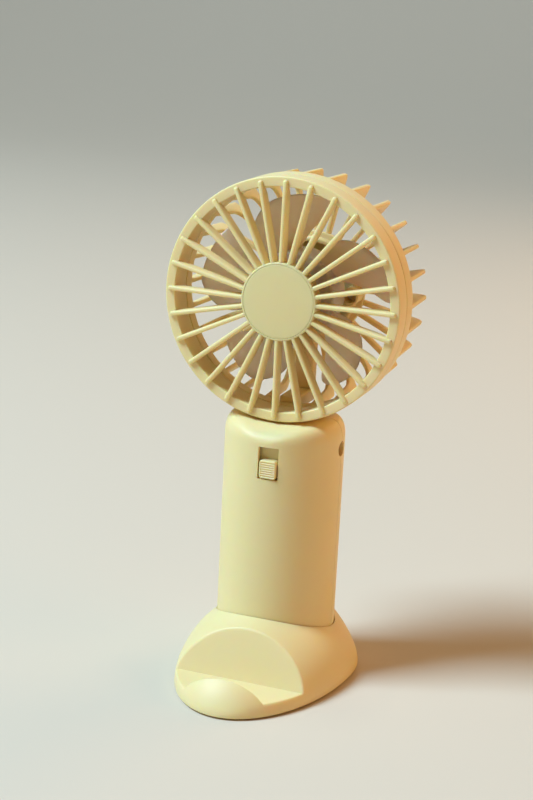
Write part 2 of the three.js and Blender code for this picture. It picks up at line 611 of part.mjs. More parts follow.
const shells = handleShells();
piece('handle_front_shell', shells.front, FINISH.body);
piece('handle_rear_shell', shells.rear, FINISH.body);
piece('shell_screw_left', shellScrew(-1), FINISH.steel);
piece('shell_screw_right', shellScrew(1), FINISH.steel);
piece('lanyard_tube', lanyardTube(), FINISH.body);
piece('battery_cell', batteryCell(), FINISH.cell);
const tabs = batteryTabs();
piece('battery_tab_top', tabs.top, FINISH.nickel);
piece('battery_tab_bottom', tabs.bottom, FINISH.nickel);
piece('control_board', controlBoard(), FINISH.board);
piece('control_chip', controlChip(), FINISH.chip);
piece('slide_switch', slideSwitch(), FINISH.steel);
piece('switch_knob', switchKnob(), FINISH.body);
piece('charge_board', chargeBoard(), FINISH.board);
piece('charge_port', chargePort(), FINISH.nickel);
piece('charge_lead_red', chargeLead(-1), FINISH.leadRed);
piece('charge_lead_black', chargeLead(1), FINISH.leadBlack);

piece('front_grille', frontGrille(), FINISH.body);
piece('grille_cap', grilleCap(), FINISH.body);
piece('rear_cage', rearCage(), FINISH.body);
piece('rear_cap', rearCap(), FINISH.body);
bossPlaces.forEach((place, i) => piece(`cap_screw_${i + 1}`, capScrew(place), FINISH.steel));

piece('impeller', impeller(), FINISH.blade);
piece('rotor_yoke', rotorYoke(), FINISH.steel);
piece('magnet_ring', magnetRing(), FINISH.ferrite);
piece('motor_shaft', motorShaft(), FINISH.steel);
piece('shaft_clip', shaftClip(), FINISH.steel);
piece('bearing_sleeve', bearingSleeve(), FINISH.brass);
piece('stator_core', statorCore(), FINISH.steel);
armAngles.forEach((angle, i) => piece(`stator_coil_${i + 1}`, statorCoil(angle), FINISH.copper));
piece('motor_board', motorBoard(), FINISH.board);
piece('motor_lead_red', motorLead(-1), FINISH.leadRed);
piece('motor_lead_black', motorLead(1), FINISH.leadBlack);

export default fan;
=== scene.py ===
"""Handheld electric fan standing in its phone-stand base: its finished surfaces, finishes, light and camera.

Lengths in this file are millimetres until a mesh is made. The head's axis runs along Y, the handle's along Z.
"""

import json
import logging
import math
from dataclasses import dataclass, field
from enum import Enum
from typing import Any, Callable, Union

import bpy
import numpy as np
from mathutils import Matrix, Vector


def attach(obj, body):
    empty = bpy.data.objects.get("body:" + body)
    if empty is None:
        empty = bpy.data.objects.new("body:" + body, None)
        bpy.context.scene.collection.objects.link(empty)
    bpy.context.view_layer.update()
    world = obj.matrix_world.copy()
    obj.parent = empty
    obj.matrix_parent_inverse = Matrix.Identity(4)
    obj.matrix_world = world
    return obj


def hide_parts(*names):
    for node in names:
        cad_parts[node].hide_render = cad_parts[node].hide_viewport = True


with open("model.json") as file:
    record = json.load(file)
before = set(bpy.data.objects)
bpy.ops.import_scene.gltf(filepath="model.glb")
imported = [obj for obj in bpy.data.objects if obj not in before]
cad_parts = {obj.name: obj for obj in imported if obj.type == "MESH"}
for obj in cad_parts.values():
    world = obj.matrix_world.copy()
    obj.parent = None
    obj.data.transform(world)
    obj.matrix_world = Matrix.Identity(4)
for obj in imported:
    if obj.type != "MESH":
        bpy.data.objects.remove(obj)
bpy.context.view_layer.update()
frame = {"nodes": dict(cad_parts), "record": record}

MILLIMETRE = 0.001
CREASE = math.radians(33)
HEAD_HEIGHT = 134.4

log = logging.getLogger("fan")

Array = np.ndarray
Colour = tuple[float, float, float]


class Body(Enum):
    """The bodies that a piece can ride on."""

    BASE = "base"
    HANDLE = "handle"
    ROTOR = "rotor"
    SWITCH = "switch"


# ---------------------------------------------------------------- shader arithmetic


class Signal:
    """An output socket of a material's nodes, which takes part in arithmetic."""

    def __init__(self, nodes: "Nodes", socket: bpy.types.NodeSocket) -> None:
        """Keeps the socket and the nodes it belongs to."""
        self.nodes = nodes
        self.socket = socket

    def _maths(self, operation: str, first: "Term", second: "Term") -> "Signal":
        """Adds one Math node.

        Args:
            operation: the Math node's operation.
            first: its first term.
            second: its second term.

        Returns:
            The node's value.
        """
        made = self.nodes.node("ShaderNodeMath", {"operation": operation}, {0: first, 1: second})
        return Signal(self.nodes, made.outputs[0])

    def __add__(self, other: "Term") -> "Signal":
        """self + other."""
        return self._maths("ADD", self, other)

    def __sub__(self, other: "Term") -> "Signal":
        """self - other."""
        return self._maths("SUBTRACT", self, other)

    def __rsub__(self, other: "Term") -> "Signal":
        """other - self."""
        return self._maths("SUBTRACT", other, self)

    def __mul__(self, other: "Term") -> "Signal":
        """self * other."""
        return self._maths("MULTIPLY", self, other)

    __radd__ = __add__
    __rmul__ = __mul__


Term = Union[Signal, float]


class Nodes:
    """A new material's node tree, with short ways to add to it."""

    def __init__(self, name: str) -> None:
        """Makes the material and its shader.

        Args:
            name: the material's name.
        """
        self.material = bpy.data.materials.new(name)
        self.material.use_nodes = True
        self.tree = self.material.node_tree
        self.tree.nodes.clear()
        self.shader = self.node("ShaderNodeBsdfPrincipled", {}, {})
        self.node("ShaderNodeOutputMaterial", {}, {"Surface": Signal(self, self.shader.outputs[0])})
        self.place = Signal(self, self.node("ShaderNodeTexCoord", {}, {}).outputs["Object"])

    def node(self, kind: str, settings: dict[str, Any], sockets: dict[Any, Any]) -> bpy.types.Node:
        """Adds any node.

        Args:
            kind: the node's type.
            settings: its properties, which are set first.
            sockets: the value or link of each input, by name or number.

        Returns:
            The node.
        """
        made = self.tree.nodes.new(kind)
        for name, value in settings.items():
            setattr(made, name, value)
        for key, value in sockets.items():
            self.feed(made.inputs[key], value)
        return made

    def feed(self, socket: bpy.types.NodeSocket, value: Any) -> None:
        """Links a signal to a socket, or sets the socket's own value."""
        if isinstance(value, Signal):
            self.tree.links.new(value.socket, socket)
        elif isinstance(value, tuple) and len(value) == 3 and socket.type == "RGBA":
            socket.default_value = (*value, 1.0)
        else:
            socket.default_value = value

    def mix(self, share: Term, first: Union[Signal, Colour], second: Union[Signal, Colour]) -> Signal:
        """Colours mixed by share: first where it is 0, second where it is 1."""
        made = self.node("ShaderNodeMix", {"data_type": "RGBA"}, {0: share, 6: first, 7: second})
        return Signal(self, made.outputs[2])

    def stretched(self, scale: tuple[float, float, float]) -> Signal:
        """The object's coordinates, in metres, times a scale on each axis."""
        made = self.node("ShaderNodeMapping", {}, {"Vector": self.place, "Scale": scale})
        return Signal(self, made.outputs[0])

    def noise(self, size: float, detail: float = 2.0, along: Union[Signal, None] = None) -> Signal:
        """Smooth noise from 0 to 1.

        Args:
            size: how wide its blotches are, in millimetres.
            detail: how many finer layers it has.
            along: coordinates to use in place of the object's.

        Returns:
            The noise.
        """
        made = self.node("ShaderNodeTexNoise", {}, {
            "Vector": along or self.place, "Scale": 1.0 / (size * MILLIMETRE), "Detail": detail,
        })
        return Signal(self, made.outputs["Fac"])

    def bands(self, low: float, high: float, value: Signal) -> Signal:
        """0 where value is below low, 1 where it is above high, and a smooth ramp between."""
        made = self.node("ShaderNodeMapRange", {"interpolation_type": "SMOOTHSTEP"}, {
            "Value": value, "From Min": low, "From Max": high,
        })
        return Signal(self, made.outputs[0])

    def bump(self, height: Signal, depth: float) -> Signal:
        """A normal raised by a height from 0 to 1.

        Args:
            height: the height.
            depth: the height's full depth, in millimetres.

        Returns:
            The normal.
        """
        made = self.node("ShaderNodeBump", {}, {"Height": height, "Distance": depth * MILLIMETRE})
        return Signal(self, made.outputs[0])

    def finish(self, **values: Any) -> bpy.types.Material:
        """Sets the shader's sockets, whose names have spaces where the keywords have underscores."""
        for name, value in values.items():
            self.feed(self.shader.inputs[name.replace("_", " ")], value)
        return self.material


# ---------------------------------------------------------------- finishes


@dataclass(frozen=True)
class MouldedPlastic:
    """Satin moulded plastic: even colour with faint flow clouding, fine spark texture and slight waviness."""

    name: str
    colour: Colour
    clouded: Colour
    roughness: float = 0.5
    glow: float = 0.35
    glow_reach: Colour = (1.0, 0.45, 0.10)
    see_through: float = 0.0
    texture: float = 0.012

    def material(self) -> bpy.types.Material:
        """Makes the material."""
        nodes = Nodes(self.name)
        clouds = nodes.bands(0.35, 0.7, nodes.noise(26.0, 3.0))
        specks = nodes.noise(0.28, 2.0)
        tint = nodes.mix(clouds * 0.6 + specks * 0.12, self.colour, self.clouded)
        waves = nodes.noise(9.0, 1.0)
        relief = specks * 0.6 + waves * 0.4
        return nodes.finish(
            Base_Color=tint,
            Roughness=self.roughness + clouds * 0.05 + specks * 0.07 - 0.06,
            Normal=nodes.bump(relief, self.texture),
            IOR=1.49,
            Subsurface_Weight=self.glow,
            Subsurface_Radius=self.glow_reach,
            Subsurface_Scale=4.0 * MILLIMETRE,
            Transmission_Weight=self.see_through,
        )


@dataclass(frozen=True)
class Metal:
    """Bare or plated metal with fine drawn lines along one axis and a little uneven tarnish."""

    name: str
    colour: Colour
    tarnish: Colour
    roughness: float = 0.32
    grain: tuple[float, float, float] = (1.0, 0.04, 1.0)

    def material(self) -> bpy.types.Material:
        """Makes the material."""
        nodes = Nodes(self.name)
        lines = nodes.noise(0.12, 2.0, nodes.stretched(self.grain))
        patches = nodes.bands(0.45, 0.75, nodes.noise(4.0, 3.0))
        return nodes.finish(
            Base_Color=nodes.mix(patches * 0.5, self.colour, self.tarnish),
            Metallic=1.0,
            Roughness=self.roughness - 0.08 + lines * 0.16 + patches * 0.1,
            Normal=nodes.bump(lines, 0.004),
        )


@dataclass(frozen=True)
class DullSolid:
    """A dull dense material such as rubber, ferrite or a moulded chip package, with a dusty grain."""

    name: str
    colour: Colour
    dust: Colour
    roughness: float
    grain_size: float = 0.3
    relief: float = 0.03

    def material(self) -> bpy.types.Material:
        """Makes the material."""
        nodes = Nodes(self.name)
        grain = nodes.noise(self.grain_size, 4.0)
        dusty = nodes.bands(0.5, 0.8, nodes.noise(6.0, 3.0))
        return nodes.finish(
            Base_Color=nodes.mix(grain * 0.3 + dusty * 0.35, self.colour, self.dust),
            Roughness=self.roughness + grain * 0.1 - 0.05,
            Normal=nodes.bump(grain, self.relief),
        )


@dataclass(frozen=True)
class CircuitBoard:
    """Solder mask over a weave of glass cloth, with lighter copper tracks showing under it."""

    name: str
    mask: Colour
    track: Colour

    def material(self) -> bpy.types.Material:
        """Makes the material."""
        nodes = Nodes(self.name)
        tracks = nodes.bands(0.53, 0.56, nodes.noise(1.6, 0.0, nodes.stretched((1.0, 1.0, 0.25))))
        weave = nodes.noise(0.2, 1.0)
        return nodes.finish(
            Base_Color=nodes.mix(tracks, self.mask, self.track),
            Roughness=0.32 + weave * 0.12,
            Normal=nodes.bump(tracks * 0.7 + weave * 0.3, 0.03),
            Coat_Weight=0.4,
        )


@dataclass(frozen=True)
class Sleeve:
    """Glossy shrink film or wire insulation, gently wrinkled."""

    name: str
    colour: Colour
    deep: Colour
    wrinkle: float = 3.0

    def material(self) -> bpy.types.Material:
        """Makes the material."""
        nodes = Nodes(self.name)
        folds = nodes.noise(self.wrinkle, 2.0)
        return nodes.finish(
            Base_Color=nodes.mix(folds * 0.5, self.colour, self.deep),
            Roughness=0.28 + folds * 0.12,
            Normal=nodes.bump(folds, 0.05),
        )


@dataclass(frozen=True)
class Winding:
    """Enamelled wire wound in close turns about 0.3 mm apart, with painted shade darkening the grooves between
    turns.
    """

    name: str
    colour: Colour
    # The second colour is painted shade: the darker tone put into the grooves between turns.
    groove_shade: Colour
    pitch: float = 0.3

    def material(self) -> bpy.types.Material:
        """Makes the material."""
        nodes = Nodes(self.name)
        wave = nodes.node("ShaderNodeTexWave", {"bands_direction": "DIAGONAL"}, {
            "Vector": nodes.place, "Scale": 0.2 / (self.pitch * MILLIMETRE), "Distortion": 0.6,
        })
        turns = Signal(nodes, wave.outputs["Fac"])
        return nodes.finish(
            # Where the wave is low, in the grooves between turns, the colour goes to the darker one: painted shade.
            Base_Color=nodes.mix(turns, self.groove_shade, self.colour),
            Metallic=0.8,
            Roughness=0.36 - turns * 0.1,
            Normal=nodes.bump(turns, 0.08),
        )


FINISHES: dict[str, Any] = {
    "body": MouldedPlastic("butter_plastic", (0.88, 0.69, 0.34), (0.87, 0.67, 0.31)),
    "blade": MouldedPlastic(
        "frosted_blade", (0.96, 0.82, 0.70), (0.94, 0.79, 0.66), roughness=0.38, glow=0.5, see_through=0.5),
    "rubber": DullSolid("foot_rubber", (0.045, 0.045, 0.045), (0.12, 0.115, 0.11), 0.85),
    "steel": Metal("zinc_steel", (0.56, 0.57, 0.60), (0.42, 0.42, 0.43)),
    "brass": Metal("sintered_bronze", (0.62, 0.42, 0.18), (0.40, 0.26, 0.12), roughness=0.42),
    # The winding's second colour is painted shade in the grooves between its turns.
    "copper": Winding("enamelled_wire", (0.60, 0.24, 0.10), (0.22, 0.07, 0.03)),
    "ferrite": DullSolid("bonded_ferrite", (0.03, 0.03, 0.032), (0.07, 0.07, 0.07), 0.62),
    "board": CircuitBoard("green_board", (0.025, 0.16, 0.065), (0.06, 0.30, 0.13)),
    "chip": DullSolid("chip_package", (0.02, 0.02, 0.021), (0.05, 0.05, 0.05), 0.5, 0.15),
    "cell": Sleeve("cell_wrap", (0.09, 0.26, 0.48), (0.05, 0.17, 0.36), 8.0),
    "nickel": Metal("nickel_strip", (0.64, 0.61, 0.55), (0.50, 0.47, 0.40), roughness=0.26),
    "lead_red": Sleeve("red_insulation", (0.48, 0.025, 0.02), (0.30, 0.012, 0.01)),
    "lead_black": Sleeve("black_insulation", (0.022, 0.022, 0.024), (0.01, 0.01, 0.01)),
}


# ---------------------------------------------------------------- surfaces


@dataclass
class Surface:
    """Points and the four-cornered faces between them. A face may have two corners alike."""

    points: Array
    faces: Array

    @classmethod
    def grid(cls, points: Array, close_rows: bool = False, close_columns: bool = True) -> "Surface":
        """Faces between the neighbours of a grid.

        Args:
            points: rows x columns x 3.
            close_rows: whether the last row joins the first.
            close_columns: whether the last column joins the first.

        Returns:
            The surface.
        """
        rows, columns = points.shape[:2]
        index = np.arange(rows * columns).reshape(rows, columns)
        if close_rows:
            index = np.vstack([index, index[:1]])
        if close_columns:
            index = np.hstack([index, index[:, :1]])
        faces = np.stack([index[:-1, :-1], index[:-1, 1:], index[1:, 1:], index[1:, :-1]], axis=-1)
        return cls(points.reshape(-1, 3), faces.reshape(-1, 4))

    def __add__(self, other: "Surface") -> "Surface":
        """Both surfaces as one."""
        points = np.vstack([self.points, other.points])
        return Surface(points, np.vstack([self.faces, other.faces + len(self.points)]))

    def moved(self, x: float, y: float, z: float) -> "Surface":
        """The surface moved by x, y and z."""
        return Surface(self.points + [x, y, z], self.faces)

    def welded(self) -> "Surface":
        """The surface with points that coincide made one, and faces that collapsed to a line left out."""
        points, place = np.unique(np.round(self.points, 4), axis=0, return_inverse=True)
        faces = place.reshape(-1)[self.faces]
        pairs = faces == np.roll(faces, -1, axis=1)
        crossed = (faces[:, 0] == faces[:, 2]) | (faces[:, 1] == faces[:, 3])
        return Surface(points, faces[(pairs.sum(axis=1) < 2) & ~crossed])

    def outward(self) -> "Surface":
        """The closed surface with its faces turned out, told by its volume, the sum of a . (b x c) / 6."""
        corners = self.points[self.faces]
        first = np.einsum("ij,ij->i", corners[:, 0], np.cross(corners[:, 1], corners[:, 2]))
        second = np.einsum("ij,ij->i", corners[:, 0], np.cross(corners[:, 2], corners[:, 3]))
        return self if (first + second).sum() > 0 else Surface(self.points, self.faces[:, ::-1])

    def repeated(self, count: int, centre: Array) -> "Surface":
        """Copies evenly turned about the head's axis: (x, z) turns by each angle round the centre.

        Args:
            count: how many copies.
            centre: the axis's x and z.

        Returns:
            All the copies as one surface.
        """
        turns = np.arange(count) * 2 * np.pi / count
        flat = self.points[:, [0, 2]] - centre
        cos, sin = np.cos(turns)[:, None], np.sin(turns)[:, None]
        x = flat[:, 0] * cos - flat[:, 1] * sin + centre[0]
        z = flat[:, 0] * sin + flat[:, 1] * cos + centre[1]
        y = np.broadcast_to(self.points[:, 1], x.shape)
        steps = np.arange(len(turns)) * len(self.points)
        faces = self.faces[None] + steps[:, None, None]
        return Surface(np.stack([x, y, z], axis=-1).reshape(-1, 3), faces.reshape(-1, 4))

    def mesh(self, name: str) -> bpy.types.Object:
        """Puts the surface into a mesh object in the scene, at the origin, shaded smooth between creases.

        Args:
            name: the object's name.

        Returns:
            The object.
        """
        whole = self.welded()
        pairs = whole.faces == np.roll(whole.faces, -1, axis=1)
        quads = whole.faces[~pairs.any(axis=1)]
        thirds = [np.delete(whole.faces[pairs[:, corner]], corner, axis=1) for corner in range(4)]
        data = bpy.data.meshes.new(name)
        data.from_pydata(whole.points * MILLIMETRE, [], quads.tolist() + np.vstack(thirds).tolist())
        data.validate()
        smooth(data)
        made = bpy.data.objects.new(name, data)
        bpy.context.scene.collection.objects.link(made)
        return made


def smooth(data: bpy.types.Mesh) -> None:
    """Shades a mesh smooth except across its creases."""
    data.shade_smooth()
    data.set_sharp_from_angle(angle=CREASE)


def softened(corners: Array, cuts: Union[float, Array], steps: int = 5, closed: bool = True) -> Array:
    """A line with its corners rounded: each corner P becomes the curve (1-t)^2 A + 2t(1-t) P + t^2 B.

    Args:
        corners: n x 2 or n x 3 points.
        cuts: how far from each corner its curve starts and ends, A and B.
        steps: the curve's points.
        closed: whether the line's end joins its start. An open line keeps its end points.

    Returns:
        The points of the rounded line.
    """
    corners = np.asarray(corners, float)
    cuts = np.broadcast_to(np.asarray(cuts, float), len(corners))
    back = np.roll(corners, 1, axis=0) - corners
    ahead = np.roll(corners, -1, axis=0) - corners
    reach = [np.linalg.norm(side, axis=1, keepdims=True) for side in (back, ahead)]
    room = np.minimum(*reach) * 0.49
    cut = np.minimum(cuts[:, None], room)
    start, end = corners + back / reach[0] * cut, corners + ahead / reach[1] * cut
    t = np.linspace(0, 1, steps)[None, :, None]
    curve = (1 - t) ** 2 * start[:, None] + 2 * t * (1 - t) * corners[:, None] + t ** 2 * end[:, None]
    if closed:
        return curve.reshape(-1, corners.shape[1])
    return np.vstack([corners[:1], curve[1:-1].reshape(-1, corners.shape[1]), corners[-1:]])


def smooth_least(first: Array, second: Array, reach: float) -> Array:
    """The lesser of two heights, rounded: min(a, b) - max(reach - |a - b|, 0)^2 / (4 reach)."""
    near = np.maximum(reach - np.abs(first - second), 0)
    return np.minimum(first, second) - near ** 2 / (4 * reach)


def together(first: Array, second: Array, power: float) -> Array:
    """One height from two that are at least 0, below both: (a^-p + b^-p)^(-1/p), and 0 where either is 0."""
    return first * second / np.maximum(first ** power + second ** power, 1e-9) ** (1 / power)


def rod(radius: float, low: float, high: float) -> Array:
    """The profile of a solid rod, from its axis out and back to it."""
    return np.array([[0, low], [radius, low], [radius, high], [0, high]], float)


def turned_on_y(profile: Array, centre: Array, sides: int = 128, closed: bool = True) -> Surface:
    """A profile of (radius, y) turned about an axis along Y: (cx + r cos a, y, cz + r sin a).

    Args:
        profile: the (radius, y) pairs.
        centre: the axis's x and z.
        sides: the number of steps round.
        closed: whether the profile's end joins its start. An open one starts and ends on the axis.

    Returns:
        The surface.
    """
    angle = np.linspace(0, 2 * np.pi, sides, endpoint=False)
    radius, y = profile[:, :1], profile[:, 1:]
    points = np.stack(np.broadcast_arrays(
        centre[0] + radius * np.cos(angle), y, centre[1] + radius * np.sin(angle)), axis=-1)
    return Surface.grid(points, close_rows=closed).outward()


def turned_on_z(profile: Array, sides: int = 128, centre: tuple[float, float] = (0, 0)) -> Surface:
    """A profile of (radius, z) that starts and ends on the axis, turned about Z: (r cos a, r sin a, z)."""
    angle = np.linspace(0, 2 * np.pi, sides, endpoint=False)
    radius, z = profile[:, :1], profile[:, 1:]
    points = np.stack(np.broadcast_arrays(
        centre[0] + radius * np.cos(angle), centre[1] + radius * np.sin(angle), z), axis=-1)
    return Surface.grid(points).outward()


def plate(outer: Array, inner: Array, half_width: Array, sides: int = 24, square: float = 4.5) -> Surface:
    """A flat bar standing in the plane of x and y, whose edges follow two lines in that plane.

    Each section is the superellipse middle + half * c + side * w * s, where c and s are the cosine and
    sine raised to 2 / square.

    Args:
        outer: k x 2 points (x, y) of one edge.
        inner: k x 2 points (x, y) of the other edge.
        half_width: half the bar's width along z, at each of the k stations.
        sides: points round a section.
        square: how square the section is, 2 for an ellipse.

    Returns:
        The closed bar, along x from z = 0.
    """
    angle = np.linspace(0, 2 * np.pi, sides, endpoint=False)
    c, s = (np.sign(wave) * np.abs(wave) ** (2 / square) for wave in (np.cos(angle), np.sin(angle)))
    middle, half = (outer + inner) / 2, (outer - inner) / 2
    flat = middle[:, None] + half[:, None] * c[None, :, None]
    width = np.asarray(half_width)[:, None] * s
    points = np.concatenate([flat, width[..., None]], axis=-1)
    ends = [np.broadcast_to([*middle[i], 0.0], (1, sides, 3)) for i in (0, -1)]
    return Surface.grid(np.concatenate([ends[0], points, ends[1]])).outward()


def block(low: tuple, high: tuple, radius: float, steps: int = 5) -> Surface:
    """A box with rounded edges: centre + sign(n) (half - radius) + radius n, over every direction n.

    Args:
        low: its lowest corner.
        high: its highest corner.
        radius: the radius of its edges.
        steps: points along each edge's round.

    Returns:
        The closed box.
    """
    low, high = np.asarray(low, float), np.asarray(high, float)
    quarter = np.linspace(0, np.pi / 2, steps)
    turn = (np.arange(4)[:, None] * np.pi / 2 + quarter).reshape(-1)
    side_x = np.repeat([1, -1, -1, 1], steps)
    side_y = np.repeat([1, 1, -1, -1], steps)
    rise = np.concatenate([quarter - np.pi / 2, quarter])
    side_z = np.repeat([-1, 1], steps)
    core = (high - low) / 2 - radius
    x = side_x * core[0] + radius * np.cos(rise)[:, None] * np.cos(turn)
    y = side_y * core[1] + radius * np.cos(rise)[:, None] * np.sin(turn)
    z = np.broadcast_to((side_z * core[2] + radius * np.sin(rise))[:, None], x.shape)
    points = np.stack([x, y, z], axis=-1)
    caps = [np.broadcast_to([0, 0, end * (core[2] + radius)], (1, len(turn), 3)) for end in (-1, 1)]
    points = np.concatenate([caps[0], points, caps[1]]) + (low + high) / 2
    return Surface.grid(points).outward()


def cut(piece: bpy.types.Object, cutters: list[Any], keep_inside: bool = False) -> bpy.types.Object:
    """Takes closed shapes out of a piece, or keeps only what is inside them.

    Args:
        piece: the piece, which gets the new mesh.
        cutters: the shapes, as surfaces or as mesh objects, which are used up.
        keep_inside: True keeps what is inside the shape.

    Returns:
        The piece.
    """
    tools = [each.mesh(f"cutter_{number}") if isinstance(each, Surface) else each
             for number, each in enumerate(cutters)]
    for tool in tools:
        step = piece.modifiers.new("cut", "BOOLEAN")
        step.solver = "EXACT"
        step.operation = "INTERSECT" if keep_inside else "DIFFERENCE"
        step.object = tool
    result = bpy.data.meshes.new_from_object(piece.evaluated_get(bpy.context.evaluated_depsgraph_get()))
    piece.modifiers.clear()
    piece.data = result
    smooth(result)
    for tool in tools:
        bpy.data.objects.remove(tool)
    return piece


# ---------------------------------------------------------------- the fan's sub-assemblies


@dataclass
class Dresser:
    """Gives each piece its finish and its place in the frame."""

    materials: dict[str, bpy.types.Material] = field(default_factory=dict)

    def __post_init__(self) -> None:
        """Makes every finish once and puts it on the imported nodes."""
        self.materials = {slot: finish.material() for slot, finish in FINISHES.items()}
        for part in frame["record"]["subparts"]:
            for place in frame["nodes"][part["node"]].material_slots:
                place.material = self.materials[part["material_slot"]]

    def fit(self, piece: bpy.types.Object, slot: str, body: Body, *nodes: str) -> bpy.types.Object:
        """Finishes a piece.

        Args:
            piece: the piece.
            slot: the finish it takes.
            body: the body it moves with.
            nodes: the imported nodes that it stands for.

        Returns:
            The piece.
        """
        piece.data.materials.clear()
        piece.data.materials.append(self.materials[slot])
        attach(piece, body.value)
        if nodes:
            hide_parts(*nodes)
        log.info("%s: %d faces, moves with %s", piece.name, len(piece.data.polygons), body.value)
        return piece


@dataclass
class FrontGrille:
    """The ring on the head's front, its straight ribs, and the cup and domed cap in the middle."""

    centre: Array
    radius: float = 42.0
    bore: float = 38.6
    front: float = -12.3
    seam: float = -4.1
    step: float = 40.0
    lap: float = 1.8
    ribs: int = 28
    rib_half_width: float = 0.84
    rib_back: float = -9.0
    rib_end: float = 41.0
    disc: float = 13.4
    cap: float = 12.6
    face: float = -14.3

    def ring(self) -> Surface:
        """The ring, turned from a profile with a rounded outer edge and a small step at the seam."""
        bore, radius, front, seam = self.bore, self.radius, self.front, self.seam
        corners = [[bore, front], [radius, front], [radius, seam], [self.step, seam],
                   [self.step, seam + self.lap], [bore, seam + self.lap]]
        return turned_on_y(softened(corners, [0.35, 0.6, 0.5, 0.1, 0.2, 0.3], 7), self.centre, 192)

    def rib(self) -> Surface:
        """One rib along x. Its front edge falls from the disc to the ring, and its end is round."""
        run = np.linspace(12.7, self.rib_end - self.rib_half_width, 8)
        tail = np.radians(np.linspace(12, 90, 7))
        x = np.concatenate([run, run[-1] + self.rib_half_width * np.sin(tail)])
        taper = np.concatenate([np.ones(8), np.cos(tail)])
        crest = np.interp(x, [12.9, 40.6], [-14.15, -13.5])
        front = -11.9 + (crest + 11.9) * taper ** 0.7
        back = np.where(x < 39, self.rib_back, -11.2)
        half_width = self.rib_half_width * taper
        return plate(np.stack([x, front], axis=1), np.stack([x, back], axis=1), half_width, 24, 3.6)

    def build(self, dresser: Dresser) -> None:
        """Makes the pieces."""
        dresser.fit(self.ring().mesh("grille_ring"), "body", Body.HANDLE, "front_grille")
        ribs = self.rib().moved(self.centre[0], 0, self.centre[1]).repeated(self.ribs, self.centre)
        dresser.fit(ribs.mesh("grille_ribs"), "body", Body.HANDLE, "front_grille")
        cup = softened([
            [self.cap + 0.06, -12.2], [self.cap + 0.06, self.face + 0.02], [self.disc, self.face + 0.15],
            [self.disc, self.rib_back], [11.2, self.rib_back], [11.2, -10.6],
        ], [0.1, 0.18, 0.5, 0.2, 0.2, 0.2])
        floor = [[0, -10.6], *cup[::-1].tolist(), [0, -12.2]]
        dresser.fit(turned_on_y(np.array(floor), self.centre, 128, False).mesh("grille_cup"),
                    "body", Body.HANDLE, "front_grille")
        radius = np.linspace(0, 1, 12) * (self.cap - 0.5)
        face = np.stack([radius, self.face - 0.25 + 0.3 * (radius / self.cap) ** 2], axis=1)
        rim = softened([face[-1], [self.cap, face[-1, 1] + 0.04], [self.cap, -12.5], [0, -12.5]],
                       [0, 0.4, 0.15, 0], 6, closed=False)
        cap = turned_on_y(np.vstack([face, rim[1:]]), self.centre, 128, False)
        dresser.fit(cap.mesh("grille_centre_cap"), "body", Body.HANDLE, "grille_cap")


